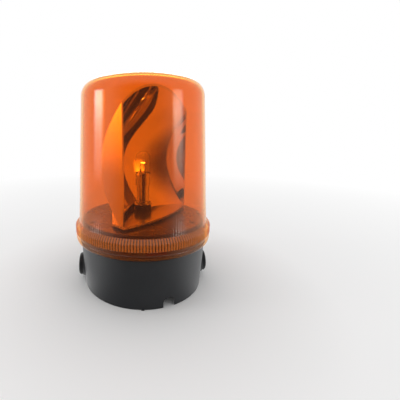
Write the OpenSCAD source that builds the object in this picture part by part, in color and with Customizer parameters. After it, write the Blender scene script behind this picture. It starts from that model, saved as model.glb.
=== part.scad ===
// Amber rotating-mirror warning light. Millimetres, +Z up, origin at the centre of the underside.

/* [Dome] */
// Overall height, from the underside to the crown
total_h = 224; // [205:1:270]
// Outer diameter of the grip collar
collar_d = 150; // [145:1:180]
// How far the dome wall stands in from the collar at its foot
collar_step = 3.9; // [3:0.1:6]
// How much the dome's outer radius shrinks from its foot to its shoulder
dome_taper = 6; // [2:0.5:8]
// Outside radius of the dome's shoulder
shoulder_r = 17; // [12:1:22]
// Dome wall thickness
dome_t = 2.6; // [2:0.1:3]
// Wall thickness of the collar's skirt
skirt_t = 4; // [3:0.1:5]

/* [Base] */
// Height of the base's shoulder, where the dome seal sits
base_h = 51; // [46:1:70]
// Outer diameter of the base at its foot
base_foot_d = 132; // [124:1:134]
// How far the base's top edge stands in from the collar
base_inset = 5.5; // [5:0.1:7]
// Base wall thickness
wall = 3; // [2.5:0.1:4]
// Base floor thickness
floor_t = 3.5; // [3:0.1:5]
// Height of the neck above the base's shoulder
neck_h = 20; // [18:1:26]
// Neck wall thickness
neck_t = 3; // [2.5:0.1:3.5]
// Pitch circle diameter of the fixing holes
fixing_pcd = 96; // [84:1:100]
// Diameter of a fixing hole
fixing_d = 5.5; // [4.5:0.1:6.5]

/* [Cable entries] */
// Height of the side entries above the underside
entry_z = 16; // [15:0.5:24]
// Turn of the side entries about the upright axis, in degrees
entry_yaw = 4; // [0:1:8]
// Diameter of a side entry's bore
entry_d = 18.2; // [16:0.1:20.2]
// Diameter of a blanking plug's head
plug_head_d = 24; // [22:0.5:26]
// Thickness of a blanking plug's head
plug_head_t = 3.6; // [3:0.1:6]
// Width of the cable channel under the base
channel_w = 11; // [9:0.5:14]
// Height of the cable channel under the base
channel_h = 10.5; // [8:0.5:11]
// Diameter of the cable hole in the grommet
cable_d = 7; // [5:0.5:8]

/* [Rotor] */
// Focal length of the paraboloid mirror
focal = 30; // [28:0.5:31]
// Distance of the mirror's mouth in front of the lamp
mouth = 22; // [18:0.5:23]
// Width of the reflector over its cheeks
reflector_w = 113; // [100:1:114]
// Reflector wall thickness, measured along its axis
reflector_t = 3; // [2:0.1:3.5]
// Direction that the mirror faces at rest, in degrees from +X
mirror_az = -39; // [-180:1:180]
// Gear module
gear_m = 0.8; // [0.7:0.05:0.85]
// Teeth on the rotor gear
gear_teeth = 48; // [44:1:52]
// Teeth on the motor pinion
pinion_teeth = 15; // [14:1:18]

/* [Lamp] */
// Height of the filament above the underside
lamp_z = 133; // [130:1:138]
// Radius of the lamp's glass
glass_r = 8.3; // [7:0.1:10]
// Length of the lamp's glass
glass_l = 24.5; // [22:0.5:28]
// Radius of the lamp's bayonet cap
cap_r = 7.5; // [7.2:0.1:7.7]
// Outer radius of the lamp post
post_r = 7; // [6.5:0.1:7.5]

/* [Hidden] */
$fn = 96;

// Clearances
run_fit = 0.05;    // between a shaft and what it turns in
slip = 0.3;        // between pieces on different bodies
loose = 0.1;       // between pieces that are fixed together

// Radii of the dome and base, all from the collar
collar_r = collar_d / 2;
dome_foot_r = collar_r - collar_step;
skirt_in_r = collar_r - skirt_t;
neck_r = dome_foot_r - dome_t - 3 * slip;
neck_in_r = neck_r - neck_t;
base_top_r = collar_r - base_inset;
base_foot_r = base_foot_d / 2;

// Heights
seal_h = 3;
collar_z = base_h + 2;              // the collar's lower edge
band_h = 16;                        // height of the collar's outside
dome_foot_z = collar_z + 19.5;      // where the dome's wall leaves the collar
neck_top = base_h + neck_h;
deck_t = 3;
deck_top = neck_top + deck_t;
well_floor = deck_top - 7;          // top of the gear well's floor
well_t = 3;
well_under = well_floor - well_t;

// Rotor stack, from the well's floor upwards
post_collar_t = 1.5;
washer_t = 0.9;
hub_foot = well_floor + post_collar_t + washer_t + 0.1;
gear_t = 4.6;
hub_flange_t = 1.6;
hub_flange_z = hub_foot + gear_t + 0.4;
table_t = 2;
table_z = hub_flange_z + hub_flange_t;
table_top = table_z + table_t;
hub_top = table_top + 8;
bush_r = post_r + 1.2;
hub_r = 11;
hub_neck_r = bush_r + 1.2;
hub_flange_r = 17;

// Gears
gear_r = gear_m * gear_teeth / 2;
pinion_r = gear_m * pinion_teeth / 2;
gear_gap = 0.1;                     // extra centre distance, which is the gears' backlash
centre_d = gear_r + pinion_r + gear_gap;
pinion_az = 118;
pinion_x = centre_d * cos(pinion_az);
pinion_y = centre_d * sin(pinion_az);

// Motor, hung under the gear well
nut_r = post_r + 4;                 // the nut under the lamp post, and the boss that it bears on
motor_r = centre_d - nut_r - 1.3;
motor_l = 26;
motor_top = well_under;
motor_foot = motor_top - motor_l;
motor_cap_t = 5;
shaft_r = 1.5;
motor_screw_r = 1.3;
motor_screw_at = motor_r - 4;

// Lampholder and lamp
cap_l = 10.5;
holder_top = lamp_z - 11.5;
cap_foot = holder_top - cap_l + 0.5;
holder_floor = 2;
holder_foot = cap_foot - 3.4;
holder_t = 0.8;
holder_r = cap_r + run_fit + holder_t;
post_in_r = post_r - 1.5;
post_foot = well_under - 12;
boss_foot = well_under - 5;
pin_r = 1;
pin_out = 0.7;
contact_at = 2.1;                   // distance of each contact from the axis
contact_r = 1.2;
clip_z = hub_top + slip + 0.8;

// Bayonet lugs that hold the dome
lug_count = 3;
lug_w = 16;
lug_h = 2.6;
lug_offset = 40;                    // the dome's turn from dropped on to locked
neck_lug_z = base_h + 9;
dome_lug_z = neck_lug_z - lug_h - 0.6;

// Fixings
fixing_az = [90, 210, 330];
deck_screw_at = neck_r - 8;
deck_screw_r = 2;
deck_screw_head_r = 4;
deck_screw_l = 14;
deck_boss_r = neck_in_r + 0.4 - deck_screw_at;

// Cable channel, grommet and entries
channel_x = 25;
channel_end = -30;                  // y of its inner end
channel_wall = 2.5;
grommet_y = channel_end - channel_wall - 6;
grommet_r = cable_d / 2 + 2;
entry_boss_r = plug_head_d / 2 + 1.5;
entry_face = base_foot_r + (base_top_r - base_foot_r) * (entry_z + entry_boss_r) / base_h + 0.3;
entry_boss_l = 10;
plug_seal_t = 0.8;

module at_angles(list, r) {
    for (a = list) rotate(a) translate([r, 0, 0]) children();
}

module tube(r_out, r_in, h) {
    difference() {
        cylinder(r = r_out, h = h);
        translate([0, 0, -1]) cylinder(r = r_in, h = h + 2);
    }
}

// ---------- base ----------

module base_profile() {
    edge = 0.6;
    polygon([
        [0, 0], [base_foot_r - edge, 0], [base_foot_r, edge],
        [base_top_r, base_h - edge], [base_top_r - edge, base_h],
        [neck_r, base_h], [neck_r, neck_top - 1], [neck_r - 1, neck_top],
        [neck_in_r, neck_top], [neck_in_r, base_h - 5],
        [base_top_r - wall, base_h - 9], [base_foot_r - wall, floor_t], [0, floor_t],
    ]);
}

// A screw boss, a little below the neck's rim so that the deck seats on the rim
module deck_boss() {
    boss_l = 26;
    relief = 0.2;
    translate([0, 0, neck_top - relief - boss_l]) {
        cylinder(r = deck_boss_r, h = boss_l);
        translate([0, -2, 0]) cube([neck_in_r + 1 - deck_screw_at, 4, boss_l - 2]);
    }
}

module entry_axis(side) {
    rotate(side > 0 ? entry_yaw : 180 + entry_yaw) translate([0, 0, entry_z]) rotate([0, 90, 0]) children();
}

module neck_lug() {
    rotate(-lug_w / 2) rotate_extrude(angle = lug_w)
        translate([neck_r - 1, neck_lug_z]) square([3.4, lug_h]);
}

// The channel that the cable runs in, or with grow the block that its walls are cut from
module channel(grow) {
    x0 = channel_x - channel_w / 2 - grow;
    z_low = grow > 0 ? 0 : -1;
    length = base_foot_r + channel_end - channel_wall + grow;
    translate([x0, -base_foot_r, z_low])
        cube([channel_w + 2 * grow, length, channel_h + grow - z_low]);
}

// The arched mouth where the channel comes out through the side wall
module channel_mouth() {
    arch_z = channel_h - channel_w / 2;
    mouth_l = base_foot_r + channel_end - channel_wall + 2;
    translate([channel_x, channel_end - channel_wall - 2, 0]) rotate([90, 0, 0]) linear_extrude(mouth_l) {
        translate([0, arch_z]) circle(r = channel_w / 2);
        translate([-channel_w / 2, -1]) square([channel_w, arch_z + 1]);
    }
}

module base_housing() {
    color("#303134") difference() {
        union() {
            rotate_extrude() base_profile();
            intersection() {
                channel(channel_wall);
                cylinder(r = base_foot_r - wall + 0.5, h = channel_h + channel_wall + 1);
            }
            at_angles(fixing_az, fixing_pcd / 2) cylinder(r = fixing_d / 2 + 3.5, h = floor_t + 3);
            at_angles(fixing_az, deck_screw_at) deck_boss();
            for (side = [-1, 1]) entry_axis(side)
                translate([0, 0, entry_face - entry_boss_l]) cylinder(r = entry_boss_r, h = entry_boss_l);
            for (i = [0 : lug_count - 1]) rotate(i * 360 / lug_count) neck_lug();
            translate([-1.5, -base_foot_r - 0.7, 0]) cube([3, 4, 1.8]);
        }
        intersection() {
            channel(0);
            translate([0, 0, -2]) cylinder(r = base_foot_r - wall, h = channel_h + 4);
        }
        channel_mouth();
        translate([channel_x, grommet_y, 0]) cylinder(r = grommet_r, h = 30);
        at_angles(fixing_az, fixing_pcd / 2) translate([0, 0, -1]) cylinder(r = fixing_d / 2, h = 20);
        at_angles(fixing_az, deck_screw_at)
            translate([0, 0, neck_top - deck_screw_l - 1]) cylinder(r = deck_screw_r, h = deck_screw_l + 2);
        for (side = [-1, 1]) entry_axis(side)
            translate([0, 0, entry_face - entry_boss_l - 5]) cylinder(r = entry_d / 2, h = entry_boss_l + 10);
    }
}

module cable_grommet() {
    flange = 1.8;
    color("#1c1c1e") translate([channel_x, grommet_y, channel_h]) difference() {
        union() {
            cylinder(r = grommet_r - loose, h = channel_wall + flange);
            translate([0, 0, channel_wall]) cylinder(r = grommet_r + 1.6, h = flange);
            translate([0, 0, -1.2]) cylinder(r = grommet_r - loose, h = 1.3);
        }
        translate([0, 0, -3]) cylinder(r = cable_d / 2, h = 12);
    }
}

module blanking_plug(side) {
    shank = entry_boss_l + 1;
    color("#242528") entry_axis(side) translate([0, 0, entry_face + plug_seal_t]) difference() {
        union() {
            translate([0, 0, -shank]) cylinder(r = entry_d / 2 - loose, h = shank);
            cylinder(r = plug_head_d / 2, h = plug_head_t - 1);
            translate([0, 0, plug_head_t - 1])
                cylinder(r1 = plug_head_d / 2, r2 = plug_head_d / 2 - 1, h = 1);
        }
        translate([0, 0, plug_head_t - 2]) cube([plug_head_d - 8, 2.2, 6], center = true);
        translate([0, 0, -shank - 1]) cylinder(r = entry_d / 2 - 2.5, h = shank - 1);
    }
}

module plug_seal(side) {
    color("#111113") entry_axis(side) translate([0, 0, entry_face])
        tube(plug_head_d / 2 - 0.8, entry_d / 2 + loose, plug_seal_t);
}

module left_blanking_plug() { blanking_plug(-1); }
module right_blanking_plug() { blanking_plug(1); }
module left_plug_seal() { plug_seal(-1); }
module right_plug_seal() { plug_seal(1); }

// ---------- wiring ----------

block_w = 44;
block_d = 18;
block_h = 15;
block_ways = 4;
way_pitch = 10;

module terminal_block() {
    color("ivory") translate([0, 0, floor_t]) difference() {
        union() {
            translate([-block_w / 2, -block_d / 2, 0]) cube([block_w, block_d, block_h - 5]);
            translate([-block_w / 2, -4, 0]) cube([block_w, 8, block_h]);
        }
        for (i = [0 : block_ways - 1]) translate([way_x(i), 0, 0]) {
            translate([0, 0, block_h - 9]) cylinder(r = 2.6, h = 12);
            translate([0, 0, 4]) rotate([90, 0, 0]) cylinder(r = 2, h = block_d + 2, center = true);
        }
    }
}

function way_x(i) = (i - (block_ways - 1) / 2) * way_pitch;

module terminal_clamps() {
    color("gold") for (i = [0 : block_ways - 1]) translate([way_x(i), 0, floor_t + 4])
        rotate([90, 0, 0]) difference() {
            cylinder(r = 2 - loose, h = 7, center = true);
            cylinder(r = 1.3, h = 9, center = true);
        }
}

module terminal_screws() {
    color("silver") for (i = [0 : block_ways - 1]) translate([way_x(i), 0, floor_t + block_h - 9])
        difference() {
            cylinder(r = 2.4, h = 5);
            translate([0, 0, 5]) cube([6, 0.8, 2], center = true);
        }
}

// A tube swept along a list of points
function unit(v) = v / norm(v);
function heading(path, i) = let (n = len(path) - 1)
    unit(path[min(i + 1, n)] - path[max(i - 1, 0)]);
function ring(p, d, r, sides, side) = let (u = unit(cross(d, side)), v = cross(d, u))
    [for (k = [0 : sides - 1]) p + r * (cos(k * 360 / sides) * u + sin(k * 360 / sides) * v)];

module swept(path, r, sides = 8, side = [1, 0.2, 0]) {
    last = len(path) - 1;
    points = [for (i = [0 : last]) each ring(path[i], heading(path, i), r, sides, side)];
    walls = [for (i = [0 : last - 1], k = [0 : sides - 1])
        let (a = i * sides + k, b = i * sides + (k + 1) % sides)
        [a + sides, b + sides, b, a]];
    ends = [[for (k = [0 : sides - 1]) k], [for (k = [sides - 1 : -1 : 0]) last * sides + k]];
    polyhedron(points, concat(walls, ends));
}

wire_r = 1.1;
wire_x = 2;

function s_bend(a, b, steps) = [for (i = [0 : steps]) let (t = i / steps, s = (1 - cos(180 * t)) / 2)
    [a.x + (b.x - a.x) * s, a.y + (b.y - a.y) * s, a.z + (b.z - a.z) * t]];

module lamp_wires() {
    top = insulator_top - insulator_h - loose;
    for (s = [-1, 1]) color(s > 0 ? "brown" : "royalblue") {
        from = [way_x(s > 0 ? 2 : 1), 0, floor_t + block_h + 0.3];
        swept(s_bend(from, [s * wire_x, 0, post_foot - 6], 10), wire_r);
        translate([s * wire_x, 0, post_foot - 6]) cylinder(r = wire_r, h = top - post_foot + 6);
    }
}

module motor_wires() {
    for (s = [-1, 1]) color(s > 0 ? "red" : "black")
        swept(s_bend([way_x(s > 0 ? 3 : 0), 0, floor_t + block_h + 0.3],
            [pinion_x + s * 5, pinion_y, motor_foot - motor_cap_t], 10), wire_r);
}

// ---------- dome ----------

module dome_seal() {
    color("#111113") translate([0, 0, base_h]) tube(skirt_in_r - slip, neck_r + slip, seal_h);
}

shoulder_turn = 77.5;               // degrees of arc from the wall to the crown
shoulder_cr = dome_foot_r - dome_taper - shoulder_r;
crown_join_r = shoulder_cr + shoulder_r * cos(shoulder_turn);
crown_r = crown_join_r / cos(shoulder_turn);
crown_cz = total_h - crown_r;
shoulder_cz = crown_cz + crown_r * sin(shoulder_turn) - shoulder_r * sin(shoulder_turn);

// Half section of the filled dome, set in from the outer surface
module dome_half(inset) {
    join_r = shoulder_cr + (shoulder_r - inset) * cos(shoulder_turn);
    intersection() {
        translate([0, crown_cz]) circle(r = crown_r - inset, $fn = 360);
        translate([0, shoulder_cz]) square([join_r, total_h]);
    }
    intersection() {
        translate([shoulder_cr, shoulder_cz]) circle(r = shoulder_r - inset);
        translate([shoulder_cr, shoulder_cz]) square(shoulder_r + 1);
    }
    polygon([[0, collar_z], [dome_foot_r - inset, collar_z], [dome_foot_r - inset, dome_foot_z],
        [shoulder_cr + shoulder_r - inset, shoulder_cz], [0, shoulder_cz]]);
}

module collar_half() {
    groove_low = collar_z + 4.4;
    groove_high = collar_z + 7.6;
    groove = 0.9;
    polygon([
        [skirt_in_r, collar_z], [collar_r - 1.8, collar_z], [collar_r - 0.4, collar_z + 1.4],
        [collar_r - 0.4, groove_low], [collar_r - groove, groove_low + 0.5],
        [collar_r - groove, groove_high], [collar_r, groove_high + 0.8],
        [collar_r, collar_z + band_h - 1], [collar_r - 0.8, collar_z + band_h],
        [collar_r - 1.6, collar_z + band_h + 1.4], [dome_foot_r, dome_foot_z],
        [dome_foot_r - dome_t, dome_foot_z], [dome_foot_r - dome_t, neck_top - 2],
        [skirt_in_r, neck_top - 4.4],
    ]);
}

module dome_lug() {
    rotate(lug_offset - lug_w / 2) rotate_extrude(angle = lug_w)
        translate([neck_r + slip, dome_lug_z]) square([skirt_in_r - neck_r - slip + 0.5, lug_h]);
}

module amber_dome() {
    color("orange", 0.6) {
        difference() {
            union() {
                rotate_extrude() difference() {
                    dome_half(0);
                    dome_half(dome_t);
                    translate([-1, collar_z - 1]) square([dome_foot_r + 10, dome_foot_z - collar_z + 1]);
                }
                rotate_extrude() collar_half();
            }
        }
        for (i = [0 : lug_count - 1]) rotate(i * 360 / lug_count) dome_lug();
    }
}

// ---------- chassis ----------

well_r = gear_r + gear_m + 1.5;
pocket_r = pinion_r + gear_m + 1.4;
rim_r = neck_r - 1;

module chassis_plate() {
    color("#26272a") difference() {
        union() {
            translate([0, 0, neck_top]) cylinder(r = rim_r, h = deck_t - 0.6);
            translate([0, 0, deck_top - 0.6]) cylinder(r1 = rim_r, r2 = rim_r - 0.6, h = 0.6);
            translate([0, 0, well_under]) cylinder(r = well_r + 2.5, h = neck_top - well_under + 0.5);
            translate([pinion_x, pinion_y, well_under])
                cylinder(r = motor_r + 2, h = neck_top - well_under + 0.5);
            translate([0, 0, boss_foot]) cylinder(r = nut_r, h = well_under - boss_foot + 1);
        }
        translate([0, 0, well_floor]) cylinder(r = well_r, h = 20);
        translate([pinion_x, pinion_y, well_floor]) cylinder(r = pocket_r, h = 20);
        translate([0, 0, 10]) cylinder(r = post_r + loose / 2, h = 100);
        translate([pinion_x, pinion_y, 10]) cylinder(r = shaft_r + 0.4, h = 100);
        motor_screw_places() translate([0, 0, well_under - 1]) cylinder(r = motor_screw_r + loose, h = 20);
        motor_screw_places() translate([0, 0, well_floor]) cylinder(r = 2.7, h = 20);
        at_angles(fixing_az, deck_screw_at) {
            translate([0, 0, neck_top - 1]) cylinder(r = deck_screw_r + loose, h = 10);
            translate([0, 0, deck_top - 2])
                cylinder(r1 = deck_screw_r + loose, r2 = deck_screw_head_r + loose, h = 2.01);
        }
        suppressor_place() translate([0, 0, -2]) cylinder(r = 1.1, h = 10);
    }
}

module motor_screw_places() {
    for (s = [0, 180]) translate([pinion_x, pinion_y, 0]) rotate(pinion_az + 90 + s)
        translate([motor_screw_at, 0, 0]) children();
}

module chassis_screws() {
    color("#1a1a1a") at_angles(fixing_az, deck_screw_at) difference() {
        union() {
            translate([0, 0, deck_top - 2]) cylinder(r1 = deck_screw_r, r2 = deck_screw_head_r, h = 2);
            translate([0, 0, neck_top - deck_screw_l])
                cylinder(r = deck_screw_r - loose / 2, h = deck_screw_l + 1.5);
        }
        for (a = [0, 90]) translate([0, 0, deck_top]) rotate(a) cube([4.4, 0.9, 2], center = true);
    }
}

module suppressor_place() {
    rotate(25) translate([40, 0, neck_top]) children();
}

module suppressor() {
    color("goldenrod") suppressor_place() {
        translate([-5, -9, -13]) cube([10, 18, 13]);
        cylinder(r = 1, h = 1.5);
    }
}

// ---------- lamp post and holder ----------

module lamp_post() {
    color("silver") difference() {
        union() {
            translate([0, 0, post_foot]) cylinder(r = post_r, h = holder_foot - post_foot);
            translate([0, 0, well_floor]) cylinder(r = post_r + 3, h = post_collar_t);
        }
        translate([0, 0, post_foot - 1]) cylinder(r = post_in_r, h = holder_foot - post_foot + 2);
        translate([0, 0, clip_z]) tube(post_r + 1, post_r - 0.6, 1.1);
    }
}

module post_nut() {
    color("silver") translate([0, 0, boss_foot - 5]) difference() {
        cylinder(r = nut_r, h = 5, $fn = 6);
        translate([0, 0, -1]) cylinder(r = post_r + loose / 2, h = 10);
    }
}

module lampholder_shell() {
    spigot_r = post_in_r - loose / 2;
    slot_w = 2 * pin_r + 0.8;
    pin_z = cap_foot + 4;
    color("silver") difference() {
        union() {
            translate([0, 0, holder_foot]) cylinder(r = holder_r, h = holder_top - holder_foot);
            translate([0, 0, holder_foot - 6]) cylinder(r = spigot_r, h = 7);
            translate([0, 0, holder_top - 1.2]) cylinder(r = holder_r + 0.4, h = 1.2);
        }
        translate([0, 0, holder_foot + holder_floor]) cylinder(r = cap_r + run_fit, h = 40);
        translate([0, 0, holder_foot - 10]) cylinder(r = spigot_r - 0.8, h = 10 + holder_floor + 1);
        for (a = [0, 180]) rotate(a) {
            translate([cap_r - 1, -slot_w / 2, pin_z - slot_w / 2]) cube([4, slot_w, 40]);
            translate([0, 0, pin_z - slot_w / 2])
                rotate_extrude(angle = 30) translate([cap_r - 1, 0]) square([4, slot_w]);
        }
    }
}

insulator_top = holder_foot + holder_floor;
insulator_h = 4.5;
contact_well = 3.4;                 // depth of the bore that holds a contact and its spring

module contact_insulator() {
    color("#d8c9a8") difference() {
        translate([0, 0, insulator_top - insulator_h]) cylinder(r = post_in_r - 0.8 - loose, h = insulator_h);
        for (s = [-1, 1]) translate([s * contact_at, 0, 0]) {
            translate([0, 0, insulator_top - 1.2]) cylinder(r = contact_r * 0.6 + loose, h = 5);
            translate([0, 0, insulator_top - contact_well])
                cylinder(r = contact_r + loose, h = contact_well - 1.2);
            translate([0, 0, insulator_top - 10]) cylinder(r = 0.6, h = 8);
        }
    }
}

module contact_plungers() {
    color("gold") for (s = [-1, 1]) translate([s * contact_at, 0, 0]) {
        translate([0, 0, insulator_top - 1.9]) cylinder(r = contact_r - loose, h = 0.6);
        translate([0, 0, insulator_top - 1.5])
            cylinder(r = contact_r * 0.6, h = cap_foot - insulator_top + 1.5 - run_fit);
    }
}

spring_turns = 2.5;
spring_wire = 0.15;
spring_h = 1.5;

module contact_springs() {
    steps = 8 * spring_turns;
    rise = spring_h - 2 * spring_wire - 0.1;
    foot = insulator_top - contact_well + spring_wire + 0.05;
    coil = [for (i = [0 : steps]) let (a = i * 360 * spring_turns / steps)
        [0.85 * cos(a), 0.85 * sin(a), rise * i / steps]];
    color("silver") for (s = [-1, 1]) translate([s * contact_at, 0, foot])
        swept(coil, spring_wire, 5, [0, 0, 1]);
}

module lamp_cap() {
    pin_z = cap_foot + 4;
    color("#c9c2b8") difference() {
        union() {
            translate([0, 0, cap_foot]) cylinder(r = cap_r, h = cap_l);
            for (a = [0, 180]) rotate(a) translate([cap_r - 1, 0, pin_z])
                rotate([0, 90, 0]) cylinder(r = pin_r, h = 1 + pin_out);
        }
        translate([0, 0, cap_foot + 1.5]) cylinder(r = cap_r - 0.5, h = 40);
    }
}

glass_t = 0.8;
glass_foot = cap_foot + cap_l;

module glass_solid(inset) {
    translate([0, 0, glass_foot + inset]) cylinder(r = glass_r - inset, h = glass_l - glass_r - inset);
    translate([0, 0, glass_foot + glass_l - glass_r]) sphere(r = glass_r - inset);
}

module lamp_glass() {
    neck = 4;
    color("white", 0.3) {
        difference() {
            glass_solid(0);
            glass_solid(glass_t);
        }
        translate([0, 0, glass_foot - neck]) cylinder(r = cap_r - 0.5 - loose, h = neck + glass_t / 2);
    }
}

support_x = 2.6;

module filament_supports() {
    foot = glass_foot + glass_t;
    color("#444444") for (s = [-1, 1]) translate([s * support_x, 0, 0]) {
        translate([0, 0, foot]) cylinder(r = 0.35, h = lamp_z - foot);
        translate([0, 0, foot]) cylinder(r = 1, h = 3);
    }
}

module filament() {
    color("gold") translate([0, 0, lamp_z]) rotate([0, 90, 0])
        cylinder(r = 0.6, h = 2 * support_x - 0.7, center = true);
}

// ---------- rotor ----------

module thrust_washer() {
    color("white") translate([0, 0, well_floor + post_collar_t]) tube(hub_r, post_r + loose, washer_t);
}

module rotor_hub() {
    color("#4a4a4a") difference() {
        union() {
            translate([0, 0, hub_foot]) cylinder(r = hub_r, h = hub_flange_z - hub_foot + 0.5);
            translate([0, 0, hub_flange_z]) cylinder(r = hub_flange_r, h = hub_flange_t);
            translate([0, 0, hub_flange_z]) cylinder(r = hub_neck_r, h = hub_top - hub_flange_z);
        }
        translate([0, 0, hub_foot - 1]) cylinder(r = bush_r, h = 60);
    }
}

module hub_bush() {
    color("#b08d4a") translate([0, 0, hub_foot]) tube(bush_r, post_r + run_fit, hub_top - hub_foot);
}

module retaining_washer() {
    color("silver") translate([0, 0, hub_top + slip]) tube(post_r + 3.3, post_r + run_fit, 0.8);
}

module retaining_clip() {
    color("#3c3c3c") translate([0, 0, clip_z + 0.05]) difference() {
        tube(post_r + 2, post_r - 0.5, 1);
        translate([2, -2, -1]) cube([20, 4, 4]);
    }
}

// Straight-flanked gear teeth, narrow enough to run with backlash
function gear_outline(teeth) = let (
        r = gear_m * teeth / 2,
        root = r - 1.25 * gear_m,
        tip = r + 0.9 * gear_m,
        pitch = 360 / teeth)
    [for (i = [0 : teeth - 1], p = [[root, -0.34], [tip, -0.11], [tip, 0.11], [root, 0.34]])
        p[0] * [cos((i + p[1]) * pitch), sin((i + p[1]) * pitch)]];

module rotor_gear() {
    color("ivory") translate([0, 0, hub_foot + 0.2]) rotate(pinion_az) difference() {
        linear_extrude(gear_t) polygon(gear_outline(gear_teeth));
        translate([0, 0, -1]) cylinder(r = hub_r + run_fit, h = gear_t + 2);
    }
}

module motor_pinion() {
    gap_turn = pinion_az + 180 + 180 / pinion_teeth;
    color("ivory") translate([pinion_x, pinion_y, hub_foot + 0.2]) rotate(gap_turn) difference() {
        linear_extrude(gear_t) polygon(gear_outline(pinion_teeth));
        translate([0, 0, -1]) cylinder(r = shaft_r, h = gear_t + 2);
    }
}

module facing() {
    rotate(mirror_az) children();
}

table_half_w = reflector_w / 2 + 0.5;
table_bow = 10;                     // how far the turntable's front edge bows out
table_bow_r = (table_half_w * table_half_w + table_bow * table_bow) / (2 * table_bow);

module table_outline() {
    intersection() {
        translate([mouth + table_bow - table_bow_r, 0]) circle(r = table_bow_r, $fn = 360);
        polygon([
            [mouth + table_bow + 1, -table_half_w], [mouth + table_bow + 1, table_half_w],
            [mouth - 16, table_half_w - 2.5], [-30, 20], [-36, 8],
            [-36, -8], [-30, -20], [mouth - 16, 2.5 - table_half_w],
        ]);
    }
}

module turntable() {
    color("#d06a2a") facing() translate([0, 0, table_z]) difference() {
        linear_extrude(table_t) table_outline();
        translate([0, 0, -1]) cylinder(r = hub_neck_r + loose, h = 10);
        for (s = [-1, 1]) translate([tab_x, s * tab_y, -1]) cylinder(r = 1.3, h = 10);
    }
}

cheek_t = 2;                        // thickness of the reflector's flat cheeks
tab_x = -20;
tab_y = 16;
tab_t = 2;

parabola_steps = 20;
function mirror_n(r) = r * r / (4 * focal) - focal;

// The filled paraboloid, its axis on +X through the lamp
module paraboloid(back, reach) {
    rim = sqrt(4 * focal * (reach + focal + back));
    curve = [for (i = [0 : parabola_steps]) let (r = rim * i / parabola_steps) [r, mirror_n(r) - back]];
    translate([0, 0, lamp_z]) rotate([0, 90, 0]) rotate_extrude()
        polygon(concat(curve, [[0, reach]]));
}

module reflector() {
    half = reflector_w / 2;
    color("#e8e8ea") facing() {
        difference() {
            intersection() {
                paraboloid(reflector_t, mouth);
                translate([-80, -half, table_top]) cube([200, 2 * half, 200]);
            }
            intersection() {
                paraboloid(0, mouth + 8);
                translate([-80, cheek_t - half, table_top - 1]) cube([200, 2 * (half - cheek_t), 220]);
            }
            translate([0, 0, table_top - 1]) cylinder(r = hub_neck_r + 0.4, h = hub_top + 2 - table_top);
        }
        for (s = [-1, 1]) reflector_tab(s);
    }
}

module reflector_tab(s) {
    difference() {
        translate([tab_x - 4.5, s * tab_y - 4.5, table_top]) cube([17, 9, tab_t]);
        translate([tab_x, s * tab_y, table_top - 1]) cylinder(r = 1.5, h = 10);
        intersection() {
            paraboloid(reflector_t / 2, mouth);
            translate([-80, -40, table_top - 1]) cube([200, 80, 10]);
        }
    }
}

module reflector_screws() {
    color("silver") facing() for (s = [-1, 1]) translate([tab_x, s * tab_y, table_z]) {
        cylinder(r = 1.25, h = table_t + tab_t + 0.5);
        translate([0, 0, table_t + tab_t]) cylinder(r = 2.6, h = 1.8);
    }
}

// ---------- motor ----------

module motor_can() {
    color("silver") translate([pinion_x, pinion_y, motor_foot]) difference() {
        cylinder(r = motor_r, h = motor_l);
        translate([0, 0, motor_l - 14]) cylinder(r = shaft_r + run_fit, h = 20);
        for (s = [0, 180]) rotate(pinion_az + 90 + s) translate([motor_screw_at, 0, motor_l - 6])
            cylinder(r = motor_screw_r, h = 10);
    }
}

module motor_end_cap() {
    color("#1b1b1b") translate([pinion_x, pinion_y, motor_foot - motor_cap_t]) difference() {
        cylinder(r1 = motor_r - 1, r2 = motor_r - 0.4, h = motor_cap_t);
        for (s = [-1, 1]) translate([s * 5, 0, -1]) cylinder(r = wire_r + loose, h = 3);
    }
}

module motor_screws() {
    color("silver") motor_screw_places() {
        translate([0, 0, well_under - 5]) cylinder(r = motor_screw_r - 0.05, h = well_t + 5.5);
        translate([0, 0, well_floor]) cylinder(r = 2.4, h = 1.4);
    }
}

module motor_shaft() {
    inside = 13;
    color("silver") translate([pinion_x, pinion_y, motor_top - inside])
        cylinder(r = shaft_r, h = hub_foot + gear_t + 0.4 - motor_top + inside);
}

base_housing();
cable_grommet();
left_blanking_plug();
left_plug_seal();
right_blanking_plug();
right_plug_seal();
terminal_block();
terminal_clamps();
terminal_screws();
dome_seal();
amber_dome();
chassis_plate();
chassis_screws();
lamp_post();
post_nut();
lampholder_shell();
contact_insulator();
contact_plungers();
contact_springs();
lamp_cap();
lamp_glass();
filament_supports();
filament();
thrust_washer();
rotor_hub();
hub_bush();
rotor_gear();
turntable();
reflector();
reflector_screws();
retaining_washer();
retaining_clip();
motor_can();
motor_end_cap();
motor_screws();
motor_shaft();
motor_pinion();
suppressor();
lamp_wires();
motor_wires();
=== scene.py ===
# Amber rotating-mirror warning light: its dome, mirror, finishes, lamps and camera, in metres.
import math

import bmesh
import bpy
from mathutils import Matrix, Vector


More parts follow.
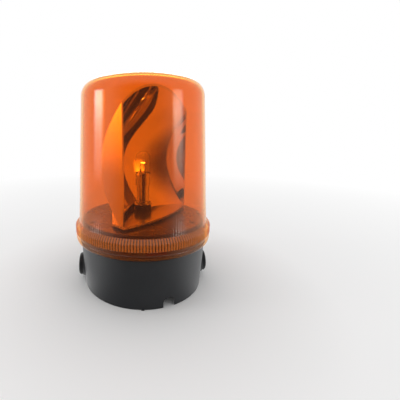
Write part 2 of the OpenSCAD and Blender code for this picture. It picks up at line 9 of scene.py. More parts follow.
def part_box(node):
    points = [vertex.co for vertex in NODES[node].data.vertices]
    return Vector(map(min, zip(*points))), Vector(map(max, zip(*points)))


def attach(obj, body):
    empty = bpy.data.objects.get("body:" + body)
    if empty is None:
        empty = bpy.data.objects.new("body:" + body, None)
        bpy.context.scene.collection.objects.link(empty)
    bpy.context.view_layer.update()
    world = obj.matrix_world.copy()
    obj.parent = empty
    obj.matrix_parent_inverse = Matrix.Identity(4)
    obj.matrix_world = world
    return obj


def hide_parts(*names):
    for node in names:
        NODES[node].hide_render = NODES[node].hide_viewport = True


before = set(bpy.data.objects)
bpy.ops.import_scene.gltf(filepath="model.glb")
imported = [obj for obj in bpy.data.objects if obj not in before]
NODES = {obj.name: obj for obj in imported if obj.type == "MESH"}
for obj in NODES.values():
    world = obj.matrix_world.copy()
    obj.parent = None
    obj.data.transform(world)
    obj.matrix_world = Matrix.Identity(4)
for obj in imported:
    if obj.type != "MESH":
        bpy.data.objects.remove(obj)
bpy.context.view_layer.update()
MM = 0.001


# ---------- material helpers ----------


def new_material(name):
    mat = bpy.data.materials.new(name)
    mat.use_nodes = True
    mat.node_tree.nodes.clear()
    return mat, mat.node_tree.nodes, mat.node_tree.links


def put(nodes, kind, **values):
    """A new node with its inputs, or its own settings, given by name."""
    node = nodes.new(kind)
    for key, value in values.items():
        if key in node.inputs:
            node.inputs[key].default_value = value
        else:
            setattr(node, key, value)
    return node


def math_node(nodes, links, operation, *values):
    """A Math node fed by outputs or plain numbers."""
    node = put(nodes, "ShaderNodeMath", operation=operation)
    for socket, value in zip(node.inputs, values):
        if isinstance(value, bpy.types.NodeSocket):
            links.new(value, socket)
        else:
            socket.default_value = value
    return node.outputs[0]


def remap(nodes, links, source, low, high, to_low, to_high, smooth=False):
    """Maps low..high to to_low..to_high, clamped."""
    node = put(nodes, "ShaderNodeMapRange", interpolation_type="SMOOTHSTEP" if smooth else "LINEAR")
    names = ("From Min", "From Max", "To Min", "To Max")
    for name, value in zip(names, (low, high, to_low, to_high)):
        node.inputs[name].default_value = value
    links.new(source, node.inputs["Value"])
    return node.outputs["Result"]


def ramp(nodes, links, source, stops):
    """A colour ramp through (place, colour) stops."""
    node = nodes.new("ShaderNodeValToRGB")
    band = node.color_ramp
    while len(band.elements) < len(stops):
        band.elements.new(0.5)
    for element, (place, colour) in zip(band.elements, stops):
        element.position = place
        element.color = (*colour, 1)
    links.new(source, node.inputs["Fac"])
    return node.outputs["Color"]


def place(nodes, links, scale):
    """Object-space coordinates, stretched by scale."""
    coords = nodes.new("ShaderNodeTexCoord")
    mapping = put(nodes, "ShaderNodeMapping")
    mapping.inputs["Scale"].default_value = scale
    links.new(coords.outputs["Object"], mapping.inputs["Vector"])
    return mapping.outputs["Vector"]


def surface(name, dark, light, rough=(0.4, 0.55), grain=900, bump=0.1, metallic=0.0,
            stretch=(1, 1, 1), patch=40, coat=0.0, specular=0.5, bump_depth=0.0002):
    """A moulded, rubbed or machined finish: mottled colour, uneven gloss and a fine grain."""
    mat, nodes, links = new_material(name)
    out = nodes.new("ShaderNodeOutputMaterial")
    shader = put(nodes, "ShaderNodeBsdfPrincipled", Metallic=metallic)
    shader.inputs["Specular IOR Level"].default_value = specular
    shader.inputs["Coat Weight"].default_value = coat
    shader.inputs["Coat Roughness"].default_value = 0.08
    vector = place(nodes, links, stretch)
    broad = put(nodes, "ShaderNodeTexNoise", Scale=patch, Detail=4.0, Roughness=0.6)
    fine = put(nodes, "ShaderNodeTexNoise", Scale=grain, Detail=3.0, Roughness=0.65)
    for texture in (broad, fine):
        links.new(vector, texture.inputs["Vector"])
    mottle = put(nodes, "ShaderNodeMix", data_type="FLOAT")
    mottle.inputs["Factor"].default_value = 0.35
    links.new(broad.outputs["Fac"], mottle.inputs["A"])
    links.new(fine.outputs["Fac"], mottle.inputs["B"])
    colour = ramp(nodes, links, mottle.outputs["Result"], [(0.3, dark), (0.72, light)])
    links.new(colour, shader.inputs["Base Color"])
    links.new(remap(nodes, links, broad.outputs["Fac"], 0.3, 0.7, *rough), shader.inputs["Roughness"])
    relief = put(nodes, "ShaderNodeBump", Strength=bump, Distance=bump_depth)
    links.new(fine.outputs["Fac"], relief.inputs["Height"])
    links.new(relief.outputs["Normal"], shader.inputs["Normal"])
    links.new(shader.outputs["BSDF"], out.inputs["Surface"])
    return mat


def crest_glint_haze(nodes, links, ribs, haze, rib_glint_haze):
    """Haze that rises by its last argument along the crest of each of the ribs round +Z: a painted highlight
    on each crest that stands in for the ribs' glints.
    """
    around = put(nodes, "ShaderNodeTexGradient", gradient_type="RADIAL")
    links.new(place(nodes, links, (1, 1, 1)), around.inputs["Vector"])
    turns = math_node(nodes, links, "MULTIPLY", around.outputs["Fac"], ribs)
    from_crest = math_node(nodes, links, "PINGPONG", turns, 0.5)
    return remap(nodes, links, from_crest, 0.15, 0.5, haze + rib_glint_haze, haze, smooth=True)


def amber_plastic(name, tint, deep, rough, haze, ribs=0, rib_glint_haze=0.0):
    """Clear coloured plastic: each face passes tinted light and mirrors more of its
    surroundings towards grazing angles. With ribs, each rib's crest is paler: a painted highlight, more of
    the milky body on each crest, standing in for the ribs' glints."""
    mat, nodes, links = new_material(name)
    out = nodes.new("ShaderNodeOutputMaterial")
    # Schlick's mirror share for clear plastic: 4 % head on, nearly all at grazing angles
    facing = put(nodes, "ShaderNodeLayerWeight", Blend=0.5)
    edge_on = math_node(nodes, links, "POWER", facing.outputs["Facing"], 5.0)
    mirrored = math_node(nodes, links, "MULTIPLY_ADD", edge_on, 0.92, 0.04)
    cloud = put(nodes, "ShaderNodeTexNoise", Scale=14.0, Detail=3.0)
    links.new(place(nodes, links, (1, 1, 0.5)), cloud.inputs["Vector"])
    colour = ramp(nodes, links, cloud.outputs["Fac"], [(0.3, deep), (0.7, tint)])
    clear = put(nodes, "ShaderNodeBsdfTransparent")
    links.new(colour, clear.inputs["Color"])
    body = put(nodes, "ShaderNodeBsdfPrincipled", Roughness=0.35)
    body.inputs["Base Color"].default_value = (0.85, 0.2, 0.02, 1)
    body.inputs["Specular IOR Level"].default_value = 0.0
    hazed = put(nodes, "ShaderNodeMixShader", Fac=haze)
    # more milky body on each rib's crest: a painted highlight for the ribs' glints
    if ribs:
        links.new(crest_glint_haze(nodes, links, ribs, haze, rib_glint_haze), hazed.inputs["Fac"])
    links.new(clear.outputs["BSDF"], hazed.inputs[1])
    links.new(body.outputs["BSDF"], hazed.inputs[2])
    gloss = put(nodes, "ShaderNodeBsdfGlossy", Roughness=rough)
    gloss.inputs["Color"].default_value = (1, 1, 1, 1)
    wave = put(nodes, "ShaderNodeTexNoise", Scale=9.0, Detail=1.0)
    relief = put(nodes, "ShaderNodeBump", Strength=0.05, Distance=0.001)
    links.new(wave.outputs["Fac"], relief.inputs["Height"])
    links.new(relief.outputs["Normal"], gloss.inputs["Normal"])
    both = nodes.new("ShaderNodeMixShader")
    links.new(mirrored, both.inputs["Fac"])
    links.new(hazed.outputs["Shader"], both.inputs[1])
    links.new(gloss.outputs["BSDF"], both.inputs[2])
    links.new(both.outputs["Shader"], out.inputs["Surface"])
    return mat


# ---------- mesh helpers ----------


def mesh_object(name, verts, faces, smooth=True):
    mesh = bpy.data.meshes.new(name)
    mesh.from_pydata(verts, [], faces)
    mesh.validate()
    bm = bmesh.new()
    bm.from_mesh(mesh)
    bmesh.ops.recalc_face_normals(bm, faces=bm.faces)
    bm.to_mesh(mesh)
    bm.free()
    for polygon in mesh.polygons:
        polygon.use_smooth = smooth
    obj = bpy.data.objects.new(name, mesh)
    bpy.context.scene.collection.objects.link(obj)
    return obj


def lathe(name, profile, segments, wobble=None, closed=True):
    """Turns a closed (r, z) profile about +Z. A point at r = 0 becomes one pole.
    wobble(r, z, angle) may change a point's radius."""
    verts, rows = [], []
    for r, z in profile:
        if r < 1e-7:
            rows.append([len(verts)] * segments)
            verts.append((0, 0, z))
            continue
        row = []
        for i in range(segments):
            angle = 2 * math.pi * i / segments
            radius = wobble(r, z, angle) if wobble else r
            row.append(len(verts))
            verts.append((radius * math.cos(angle), radius * math.sin(angle), z))
        rows.append(row)
    faces = []
    pairs = list(zip(rows, rows[1:]))
    if closed:
        pairs.append((rows[-1], rows[0]))
    for a, b in pairs:
        if a[0] == a[1] and b[0] == b[1]:
            continue
        for i in range(segments):
            j = (i + 1) % segments
            corners = [a[i], a[j], b[j], b[i]]
            faces.append(list(dict.fromkeys(corners)))
    return mesh_object(name, verts, faces)


def arc(cx, cz, r, start, end, steps):
    """Points on an arc, with angles in degrees."""
    angles = [math.radians(start + (end - start) * i / steps) for i in range(steps + 1)]
    return [(cx + r * math.cos(a), cz + r * math.sin(a)) for a in angles]


def apply_modifiers(obj):
    bpy.context.view_layer.update()
    graph = bpy.context.evaluated_depsgraph_get()
    mesh = bpy.data.meshes.new_from_object(obj.evaluated_get(graph))
    obj.modifiers.clear()
    obj.data = mesh
    return obj


def boolean(obj, other, operation):
    """Joins other into obj by a boolean operation and removes other."""
    modifier = obj.modifiers.new("cut", "BOOLEAN")
    modifier.operation = operation
    modifier.object = other
    modifier.solver = "EXACT"
    apply_modifiers(obj)
    bpy.data.objects.remove(other)
    return obj


def box_object(name, low, high):
    """A box between two opposite corners."""
    verts = [(x, y, z) for x in (low[0], high[0]) for y in (low[1], high[1]) for z in (low[2], high[2])]
    faces = [(0, 1, 3, 2), (4, 6, 7, 5), (0, 4, 5, 1), (2, 3, 7, 6), (0, 2, 6, 4), (1, 5, 7, 3)]
    return mesh_object(name, verts, faces, smooth=False)


def shade_by_angle(obj, degrees):
    """Smooth shading with hard edges where faces meet at more than this angle."""
    mesh = obj.data
    for polygon in mesh.polygons:
        polygon.use_smooth = True
    bm = bmesh.new()
    bm.from_mesh(mesh)
    for edge in bm.edges:
        edge.smooth = len(edge.link_faces) == 2 and edge.calc_face_angle(0) < math.radians(degrees)
    bm.to_mesh(mesh)
    bm.free()
    return obj


def finish_piece(obj, body, slot, material, *replaced):
    """Gives a piece its material and body, and hides the CAD nodes it stands in for. The slot argument is not
    used.
    """
    obj.data.materials.clear()
    obj.data.materials.append(material)
    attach(obj, body)
    if replaced:
        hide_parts(*replaced)
    return obj


def dress(material, *names):
    """Gives CAD nodes a finished material."""
    for name in names:
        for slot in NODES[name].material_slots:
            slot.material = material


# ---------- dome ----------

dome_low, dome_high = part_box("amber_dome")
COLLAR_R = dome_high.x
COLLAR_Z = dome_low.z
DOME_TOP = dome_high.z
COLLAR_STEP = 3.9 * MM
COLLAR_H = 19.5 * MM
DOME_FOOT_R = COLLAR_R - COLLAR_STEP
DOME_FOOT_Z = COLLAR_Z + COLLAR_H
DOME_T = 2.6 * MM
TAPER = 6 * MM
SHOULDER_R = 17 * MM
SKIRT_IN_R = COLLAR_R - 4 * MM
SHOULDER_TURN = 77.5
SHOULDER_CR = DOME_FOOT_R - TAPER - SHOULDER_R
CROWN_JOIN = SHOULDER_CR + SHOULDER_R * math.cos(math.radians(SHOULDER_TURN))
CROWN_R = CROWN_JOIN / math.cos(math.radians(SHOULDER_TURN))
CROWN_CZ = DOME_TOP - CROWN_R
SHOULDER_CZ = CROWN_CZ + (CROWN_R - SHOULDER_R) * math.sin(math.radians(SHOULDER_TURN))
RIB_LOW = COLLAR_Z + 8.6 * MM
RIB_HIGH = COLLAR_Z + 15.0 * MM
SLOPE_HIGH = DOME_FOOT_Z - 0.4 * MM
RIBS = 170                          # round the collar's band
RIB_DEPTH = 0.8 * MM
SLOPE_RIB_DEPTH = 0.35 * MM


def dome_skin(inset):
    """The dome's wall from its foot to the crown, set in from the outside."""
    wall_r = SHOULDER_CR + SHOULDER_R - inset
    foot_r = DOME_FOOT_R - inset
    rows = 5
    wall = [(foot_r + (wall_r - foot_r) * i / rows, DOME_FOOT_Z + (SHOULDER_CZ - DOME_FOOT_Z) * i / rows)
            for i in range(rows)]
    shoulder = arc(SHOULDER_CR, SHOULDER_CZ, SHOULDER_R - inset, 0, SHOULDER_TURN, 14)
    crown = arc(0, CROWN_CZ, CROWN_R - inset, SHOULDER_TURN, 90, 9)[1:-1]
    return wall + shoulder + crown + [(0, CROWN_CZ + CROWN_R - inset)]


def collar_outside():
    """Up the collar's outside from its lower edge to the dome's foot."""
    r, z = COLLAR_R, COLLAR_Z
    points = [(-1.8, 0), (-0.9, 0.35), (-0.4, 1.4), (-0.4, 4.2), (-0.6, 4.6), (-0.9, 4.9), (-0.9, 7.6),
              (-0.4, 8.1), (0, 8.4)]
    rib_rows = [(0, 8.6), (0, 10.7), (0, 12.9), (0, 15.0)]
    slope = [(-0.3, 15.6), (-0.8, 16.0), (-1.6, 17.4), (-2.4, 18.4), (-3.2, 19.0)]
    return [(r + x * MM, z + y * MM) for x, y in points + rib_rows + slope]


def ribbed(r, z, angle):
    """Round beads on the collar's band, which die out up its slope."""
    wave = 1 - abs(math.cos(angle * RIBS / 2))
    if RIB_LOW - 1e-6 < z < RIB_HIGH + 1e-6 and r > COLLAR_R - 0.05 * MM:
        return r - RIB_DEPTH * wave
    if RIB_HIGH < z < SLOPE_HIGH and r > DOME_FOOT_R - 0.5 * MM:
        return r - SLOPE_RIB_DEPTH * wave
    return r


inside = [(SKIRT_IN_R, COLLAR_Z + 13.6 * MM), (SKIRT_IN_R, COLLAR_Z + 0.4 * MM),
          (SKIRT_IN_R + 0.4 * MM, COLLAR_Z)]
inner_skin = [(DOME_FOOT_R - DOME_T, COLLAR_Z + 16 * MM)] + dome_skin(DOME_T)
dome_profile = collar_outside() + dome_skin(0) + inner_skin[::-1] + inside
dome = lathe("amber_dome_shell", dome_profile, 6 * RIBS, wobble=ribbed)
shade_by_angle(dome, 40)
amber = amber_plastic("amber_plastic", (0.965, 0.615, 0.21), (0.96, 0.595, 0.19), 0.04, 0.03)
finish_piece(dome, "dome", "amber_lens", amber, "amber_dome")
skirt_finish = amber_plastic("amber_skirt", (0.965, 0.64, 0.26), (0.955, 0.61, 0.23), 0.07, 0.045)
# the 0.4 is the painted highlight on each rib's crest, over an even haze of 0.03
ribbed_finish = amber_plastic("amber_ribs", (0.97, 0.66, 0.3), (0.96, 0.62, 0.26), 0.07, 0.03, RIBS, 0.4)
dome.data.materials.append(skirt_finish)
dome.data.materials.append(ribbed_finish)
SKIRT, RIBBED = 1, 2
for polygon in dome.data.polygons:
    x, y, z = polygon.center
    if z < DOME_FOOT_Z - 0.2 * MM:
        on_ribs = z > RIB_LOW and math.hypot(x, y) > DOME_FOOT_R - 1 * MM
        polygon.material_index = RIBBED if on_ribs else SKIRT


def wedge_ring(name, r_in, r_out, z_low, z_high, mid_degrees, width):
    """A short lug on the skirt's inside."""
    steps = 8
    verts, faces = [], []
    for i in range(steps + 1):
        angle = math.radians(mid_degrees - width / 2 + width * i / steps)
        for r, z in ((r_in, z_low + 0.2 * MM), (r_out, z_low), (r_out, z_high), (r_in, z_high - 0.2 * MM)):
            verts.append((r * math.cos(angle), r * math.sin(angle), z))
    for i in range(steps):
        a, b = 4 * i, 4 * i + 4
        for k in range(4):
            m = (k + 1) % 4
            faces.append((a + k, a + m, b + m, b + k))
    faces.append((0, 1, 2, 3))
    last = 4 * steps
    faces.append((last + 3, last + 2, last + 1, last))
    return mesh_object(name, verts, faces, smooth=False)


LUG_Z = COLLAR_Z + 3.8 * MM
LUG_H = 2.6 * MM
LUG_REACH = 3.1 * MM
LUGS = 3
LUG_OFFSET = 40                     # degrees from +X to the middle of the first lug
LUG_WIDTH = 16                      # degrees
for index in range(LUGS):
    lug = wedge_ring(f"dome_lug_{index + 1}", SKIRT_IN_R - LUG_REACH, SKIRT_IN_R + 0.2 * MM, LUG_Z,
                     LUG_Z + LUG_H, LUG_OFFSET + 360 / LUGS * index, LUG_WIDTH)
    finish_piece(lug, "dome", "amber_lens", amber)


# ---------- reflector ----------

FOCAL = 30 * MM
MOUTH = 22 * MM
SHELL_T = 3 * MM
HALF_W = 56.5 * MM
CHEEK_T = 2 * MM
MIRROR_AZ = math.radians(-39)
LAMP_Z = 133 * MM
TABLE_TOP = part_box("turntable")[1].z


def paraboloid(name, back, reach):
    """A filled paraboloid about +X through the lamp, closed by a flat disc at reach."""
    rim = math.sqrt(4 * FOCAL * (reach + FOCAL + back))
    steps = 44
    rings = [rim * i / steps for i in range(steps + 1)]
    profile = [(r, r * r / (4 * FOCAL) - FOCAL - back) for r in rings] + [(0, reach)]
    obj = lathe(name, profile, 192, closed=False)
    turn = Matrix.Translation((0, 0, LAMP_Z)) @ Matrix.Rotation(math.pi / 2, 4, "Y")
    obj.data.transform(turn)
    return obj


BEHIND, AHEAD, ABOVE = -0.08, 0.12, 0.3     # clear of the mirror on each side
reflector = paraboloid("mirror_shell", SHELL_T, MOUTH)
boolean(reflector, box_object("outer_box", (BEHIND, -HALF_W, TABLE_TOP), (AHEAD, HALF_W, ABOVE)), "INTERSECT")
hollow = paraboloid("hollow", 0, MOUTH + 8 * MM)
inner_half = HALF_W - CHEEK_T
below_table_top = TABLE_TOP - 1 * MM
boolean(hollow, box_object("inner_box", (BEHIND, -inner_half, below_table_top), (AHEAD, inner_half, 0.32)),
        "INTERSECT")
boolean(reflector, hollow, "DIFFERENCE")
HUB_HOLE_R = 9.8 * MM
hub_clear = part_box("rotor_hub")[1].z + 2 * MM
hub_profile = [(0, below_table_top), (HUB_HOLE_R, below_table_top), (HUB_HOLE_R, hub_clear), (0, hub_clear)]
hub_hole = lathe("hub_hole", hub_profile, 64, closed=False)
boolean(reflector, hub_hole, "DIFFERENCE")
shade_by_angle(reflector, 22)


def is_mirror_face(polygon):
    """True on the bowl and on the inner faces of the two cheeks."""
    x, y, z = polygon.center
    on_bowl = abs(x - (y * y + (z - LAMP_Z) ** 2) / (4 * FOCAL) + FOCAL) < 0.25 * MM
    on_cheek = abs(abs(y) - inner_half) < 0.05 * MM and abs(polygon.normal.y) > 0.9
    return on_bowl or on_cheek


outer_faces = [polygon.index for polygon in reflector.data.polygons if not is_mirror_face(polygon)]
reflector.data.transform(Matrix.Rotation(MIRROR_AZ, 4, "Z"))


def silvered(name):
    """Vacuum-plated plastic: a bright mirror with a faint haze and a slow ripple."""
    mat, nodes, links = new_material(name)
    out = nodes.new("ShaderNodeOutputMaterial")
    shader = put(nodes, "ShaderNodeBsdfPrincipled", Metallic=1.0)
    vector = place(nodes, links, (1, 1, 1))
    haze = put(nodes, "ShaderNodeTexNoise", Scale=35.0, Detail=5.0)
    links.new(vector, haze.inputs["Vector"])
    colour = ramp(nodes, links, haze.outputs["Fac"], [(0.3, (0.86, 0.83, 0.79)), (0.7, (0.93, 0.9, 0.86))])
    links.new(colour, shader.inputs["Base Color"])
    links.new(remap(nodes, links, haze.outputs["Fac"], 0, 1, 0.02, 0.09), shader.inputs["Roughness"])
    wave = put(nodes, "ShaderNodeTexNoise", Scale=28.0, Detail=2.0)
    links.new(vector, wave.inputs["Vector"])
    relief = put(nodes, "ShaderNodeBump", Strength=0.12, Distance=0.0008)
    links.new(wave.outputs["Fac"], relief.inputs["Height"])
    links.new(relief.outputs["Normal"], shader.inputs["Normal"])
    links.new(shader.outputs["BSDF"], out.inputs["Surface"])
    return mat


mirror_back = surface("reflector_back", (0.68, 0.69, 0.64), (0.78, 0.79, 0.74), rough=(0.16, 0.26), grain=600,
                      bump=0.06, metallic=1.0, patch=30)
finish_piece(reflector, "rotor", "mirror", silvered("silvered_plastic"), "reflector")
reflector.data.materials.append(mirror_back)
for index in outer_faces:
    reflector.data.polygons[index].material_index = 1

# two tabs at the foot of the mirror's back, each with a hole for its screw
TAB_T = 2 * MM
TAB_X = -20 * MM
TAB_Y = 16 * MM
TAB_HALF = 4.5 * MM
TAB_REACH = 12.5 * MM
TAB_HOLE_R = 1.5 * MM
TAB_ROOT = 0.9 * SHELL_T            # a tab starts this far out from the bowl, just inside the shell
for index, side in enumerate((-1, 1)):
    middle = side * TAB_Y
    tab = box_object(f"mirror_tab_{index + 1}", (TAB_X - TAB_HALF, middle - TAB_HALF, TABLE_TOP),
                     (TAB_X + TAB_REACH, middle + TAB_HALF, TABLE_TOP + TAB_T))
    boolean(tab, paraboloid("tab_root", TAB_ROOT, MOUTH), "DIFFERENCE")
    screw_hole = lathe("screw_hole", [(0, 0), (TAB_HOLE_R, 0), (TAB_HOLE_R, 0.2), (0, 0.2)], 32, closed=False)
    screw_hole.data.transform(Matrix.Translation((TAB_X, middle, 0)))
    boolean(tab, screw_hole, "DIFFERENCE")
    tab.data.transform(Matrix.Rotation(MIRROR_AZ, 4, "Z"))
    finish_piece(tab, "rotor", "mirror", mirror_back)


# ---------- CAD nodes ----------

housing = surface("housing_plastic", (0.021, 0.022, 0.024), (0.032, 0.033, 0.036), rough=(0.36, 0.48),
                  grain=1400, bump=0.2, patch=22)
plug_plastic = surface("plug_plastic", (0.01, 0.01, 0.011), (0.017, 0.017, 0.019), rough=(0.5, 0.62),
                       grain=1600, bump=0.2, patch=60, specular=0.25)
black_steel = surface("black_steel", (0.012, 0.012, 0.013), (0.024, 0.024, 0.025), rough=(0.35, 0.5),
                      grain=900, bump=0.1, patch=120)
rubber = surface("seal_rubber", (0.012, 0.012, 0.012), (0.022, 0.022, 0.021), rough=(0.62, 0.8), grain=1100,
                 bump=0.3, patch=80)
deck_plastic = surface("deck_plastic", (0.03, 0.03, 0.028), (0.05, 0.05, 0.046), rough=(0.22, 0.34),
                       grain=700, bump=0.03, patch=30, coat=0.08)
chrome = surface("bright_plate", (0.62, 0.62, 0.64), (0.8, 0.8, 0.82), rough=(0.06, 0.16), grain=260,
                 bump=0.04, metallic=1.0, stretch=(1, 1, 0.05), patch=120)
steel = surface("zinc_steel", (0.42, 0.42, 0.43), (0.6, 0.6, 0.58), rough=(0.22, 0.4), grain=800, bump=0.12,
                metallic=1.0, patch=160)
brass = surface("brass", (0.62, 0.42, 0.16), (0.8, 0.58, 0.27), rough=(0.2, 0.36), grain=900, bump=0.1,
                metallic=1.0, patch=150)
nylon = surface("nylon", (0.72, 0.68, 0.58), (0.84, 0.81, 0.72), rough=(0.35, 0.5), grain=700, bump=0.12,
                patch=60)
terminal = surface("terminal_plastic", (0.68, 0.64, 0.52), (0.8, 0.76, 0.65), rough=(0.4, 0.55), grain=900,
                   bump=0.15, patch=70)
table_plate = surface("turntable_plating", (0.7, 0.69, 0.67), (0.86, 0.85, 0.83), rough=(0.14, 0.24),
                      grain=500, bump=0.06, patch=40, metallic=0.9)
capacitor = surface("capacitor_skin", (0.62, 0.4, 0.05), (0.78, 0.55, 0.1), rough=(0.2, 0.32), grain=500,
                    bump=0.06, patch=90, coat=0.4)
insulation = surface("wire_insulation", (0.26, 0.05, 0.03), (0.4, 0.09, 0.05), rough=(0.35, 0.5), grain=900,
                     bump=0.12, patch=90)


def lamp_glass_material():
    """Thin clear glass with faint smoke marks."""
    mat, nodes, links = new_material("lamp_glass")
    out = nodes.new("ShaderNodeOutputMaterial")
    shader = put(nodes, "ShaderNodeBsdfPrincipled", Roughness=0.0, IOR=1.48)
    shader.inputs["Transmission Weight"].default_value = 1.0
    smoke = put(nodes, "ShaderNodeTexNoise", Scale=60.0, Detail=2.0)
    links.new(place(nodes, links, (1, 1, 1)), smoke.inputs["Vector"])
    tint = ramp(nodes, links, smoke.outputs["Fac"], [(0.3, (0.95, 0.95, 0.94)), (0.7, (1, 1, 1))])
    links.new(tint, shader.inputs["Base Color"])
    links.new(shader.outputs["BSDF"], out.inputs["Surface"])
    return mat


def filament_material():
    """Coiled wire that glows orange."""
    mat, nodes, links = new_material("filament_wire")
    out = nodes.new("ShaderNodeOutputMaterial")
    shader = put(nodes, "ShaderNodeBsdfPrincipled", Metallic=1.0, Roughness=0.4)
    coil = put(nodes, "ShaderNodeTexWave", Scale=900.0, Distortion=0.0)
    links.new(place(nodes, links, (1, 1, 1)), coil.inputs["Vector"])
    colour = ramp(nodes, links, coil.outputs["Fac"], [(0.2, (0.6, 0.3, 0.08)), (0.8, (1, 0.75, 0.35))])
    links.new(colour, shader.inputs["Base Color"])
    links.new(colour, shader.inputs["Emission Color"])
    shader.inputs["Emission Strength"].default_value = 12.0
    links.new(shader.outputs["BSDF"], out.inputs["Surface"])
    return mat


dress(housing, "base_housing")
dress(plug_plastic, "left_blanking_plug", "right_blanking_plug", "rotor_hub", "motor_end_cap")
dress(rubber, "cable_grommet", "left_plug_seal", "right_plug_seal", "dome_seal")
dress(deck_plastic, "chassis_plate")
dress(chrome, "lamp_post", "lampholder_shell", "retaining_washer")
dress(black_steel, "chassis_screws")
dress(steel, "terminal_screws", "post_nut", "contact_springs", "filament_supports",
      "reflector_screws", "retaining_clip", "motor_can", "motor_screws", "motor_shaft")
dress(brass, "terminal_clamps", "contact_plungers", "lamp_cap", "hub_bush")
dress(nylon, "thrust_washer", "rotor_gear", "motor_pinion")
dress(terminal, "terminal_block", "contact_insulator")
dress(table_plate, "turntable")
dress(capacitor, "suppressor")
dress(insulation, "lamp_wires", "motor_wires")
dress(lamp_glass_material(), "lamp_glass")
dress(filament_material(), "filament")


# ---------- floor, world, lamps ----------


FRONT_Y = -0.97                     # headings this far to the front show the room at its darkest
SIDE_Y = -0.35                      # headings from here to the back show the white backdrop
ROOM_DARK = 0.12


def seen_rays(nodes, links):
    """1 for rays that show the backdrop itself: straight ones and those through glass."""
    rays = nodes.new("ShaderNodeLightPath")
    straight, refracted = rays.outputs["Is Camera Ray"], rays.outputs["Is Transmission Ray"]
    return math_node(nodes, links, "MAXIMUM", straight, refracted)


def room_level(nodes, links, heading_y):
    """What glossy surfaces show: the white backdrop, with a darker room in front of the object."""
    return remap(nodes, links, heading_y, FRONT_Y, SIDE_Y, ROOM_DARK, 1.0, smooth=True)


def floor_material():
    """Pale paint that keeps the object's shadow and fades into the backdrop with distance."""
    mat, nodes, links = new_material("floor")
    out = nodes.new("ShaderNodeOutputMaterial")
    paint = put(nodes, "ShaderNodeBsdfDiffuse")
    grain = put(nodes, "ShaderNodeTexNoise", Scale=40.0)
    colour = ramp(nodes, links, grain.outputs["Fac"], [(0.3, (0.86, 0.86, 0.86)), (0.7, (0.88, 0.88, 0.88))])
    links.new(colour, paint.inputs["Color"])
    coords = nodes.new("ShaderNodeTexCoord")
    reach = put(nodes, "ShaderNodeVectorMath", operation="LENGTH")
    links.new(coords.outputs["Object"], reach.inputs[0])
    fade = ramp(nodes, links, reach.outputs["Value"],
                [(0.064, (0, 0, 0)), (0.2, (0.5, 0.5, 0.5)), (0.85, (1, 1, 1))])
    share = math_node(nodes, links, "MULTIPLY", seen_rays(nodes, links), fade)
    white = put(nodes, "ShaderNodeEmission", Strength=1.0)
    both = nodes.new("ShaderNodeMixShader")
    links.new(share, both.inputs["Fac"])
    links.new(paint.outputs["BSDF"], both.inputs[1])
    links.new(white.outputs["Emission"], both.inputs[2])
    # what glossy surfaces show of the floor darkens towards the front, as the room does
    heading = put(nodes, "ShaderNodeVectorMath", operation="NORMALIZE")
    links.new(coords.outputs["Object"], heading.inputs[0])
    split = nodes.new("ShaderNodeSeparateXYZ")
    links.new(heading.outputs["Vector"], split.inputs["Vector"])
    shown = put(nodes, "ShaderNodeEmission")
    links.new(room_level(nodes, links, split.outputs["Y"]), shown.inputs["Strength"])
    rays = nodes.new("ShaderNodeLightPath")
    final = nodes.new("ShaderNodeMixShader")
    links.new(rays.outputs["Is Glossy Ray"], final.inputs["Fac"])
    links.new(both.outputs["Shader"], final.inputs[1])
    links.new(shown.outputs["Emission"], final.inputs[2])
    links.new(final.outputs["Shader"], out.inputs["Surface"])
    return mat


floor = mesh_object("floor", [(-6, -6, 0), (6, -6, 0), (6, 6, 0), (-6, 6, 0)], [(0, 1, 2, 3)], smooth=False)
floor.data.materials.append(floor_material())

AMBIENT = 0.72                      # the world's light on the object
world = bpy.data.worlds.new("studio")
bpy.context.scene.world = world
world.use_nodes = True
wn, wl = world.node_tree.nodes, world.node_tree.links
wn.clear()
world_out = wn.new("ShaderNodeOutputWorld")
light_path = wn.new("ShaderNodeLightPath")
direction = wn.new("ShaderNodeTexCoord")
split = wn.new("ShaderNodeSeparateXYZ")
wl.new(direction.outputs["Generated"], split.inputs["Vector"])
mirrored = put(wn, "ShaderNodeMix", data_type="FLOAT")
mirrored.inputs["A"].default_value = AMBIENT
wl.new(light_path.outputs["Is Glossy Ray"], mirrored.inputs["Factor"])
wl.new(room_level(wn, wl, split.outputs["Y"]), mirrored.inputs["B"])
level = put(wn, "ShaderNodeMix", data_type="FLOAT")
level.inputs["B"].default_value = 1.0
wl.new(seen_rays(wn, wl), level.inputs["Factor"])
wl.new(mirrored.outputs["Result"], level.inputs["A"])
backdrop = put(wn, "ShaderNodeBackground", Color=(1, 1, 1, 1))
wl.new(level.outputs["Result"], backdrop.inputs["Strength"])
wl.new(backdrop.outputs["Background"], world_out.inputs["Surface"])


SOFT_EDGE = 0.3                     # share of a lamp's width over which its edge fades


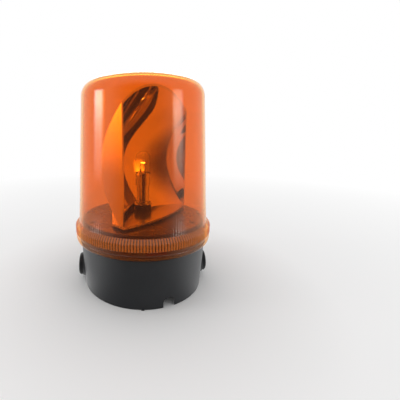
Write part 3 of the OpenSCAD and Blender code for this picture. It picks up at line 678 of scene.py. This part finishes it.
def softbox(name, azimuth, distance, height, width, tall, low, high, power=1.0, aim_z=0.12):
    """A rectangular lamp with soft edges whose radiance climbs from low at its bottom to high
    at its top. azimuth runs from the front (-Y) towards +X, in degrees."""
    data = bpy.data.lights.new(name, "AREA")
    data.shape = "RECTANGLE"
    data.size, data.size_y = width, tall
    data.energy = math.pi * width * tall
    data.use_nodes = True
    nodes, links = data.node_tree.nodes, data.node_tree.links
    nodes.clear()
    out = nodes.new("ShaderNodeOutputLight")
    glow = nodes.new("ShaderNodeEmission")
    where = nodes.new("ShaderNodeNewGeometry")
    part = nodes.new("ShaderNodeSeparateXYZ")
    links.new(where.outputs["Parametric"], part.inputs["Vector"])
    edges = []
    for axis in ("X", "Y"):
        from_edge = math_node(nodes, links, "PINGPONG", part.outputs[axis], 0.5)
        edges.append(remap(nodes, links, from_edge, 0, SOFT_EDGE, 0, 1, smooth=True))
    climb = math_node(nodes, links, "POWER", part.outputs["Y"], power)
    total = remap(nodes, links, climb, 0, 1, low, high)
    for edge in edges:
        total = math_node(nodes, links, "MULTIPLY", total, edge)
    links.new(total, glow.inputs["Strength"])
    links.new(glow.outputs["Emission"], out.inputs["Surface"])
    lamp = bpy.data.objects.new(name, data)
    bpy.context.scene.collection.objects.link(lamp)
    turn = math.radians(azimuth)
    lamp.location = (distance * math.sin(turn), -distance * math.cos(turn), height)
    aim = Vector((0, 0, aim_z)) - lamp.location
    lamp.rotation_euler = aim.to_track_quat("-Z", "Y").to_euler()
    lamp.visible_camera = False
    return lamp


softbox("left_box", -81, 1.0, 0.24, 0.46, 0.54, 1.6, 26.0, power=3.4)
softbox("right_box", 61, 1.0, 0.22, 0.44, 0.54, 1.2, 9.0, power=2.2)
top_card = softbox("top_card", 180, 1.1, 1.0, 1.3, 1.1, 5.0, 5.0)
top_card.visible_diffuse = False

# ---------- camera ----------

camera_data = bpy.data.cameras.new("camera")
camera = bpy.data.objects.new("camera", camera_data)
bpy.context.scene.collection.objects.link(camera)
bpy.context.scene.camera = camera
LENS_TO_SENSOR = 0.645              # focal length as a share of the sensor's width
TILT_DOWN = 8.9
camera_data.sensor_width = 36.0
camera_data.lens = LENS_TO_SENSOR * camera_data.sensor_width
camera_data.shift_x = 0.1428
camera_data.shift_y = -0.06
camera_data.clip_start = 0.01
camera.location = (0, -0.287, 0.163)
camera.rotation_euler = (math.radians(90 - TILT_DOWN), 0, 0)

view = bpy.context.scene.view_settings
view.view_transform = "Standard"
bpy.context.scene.cycles.transparent_max_bounces = 32
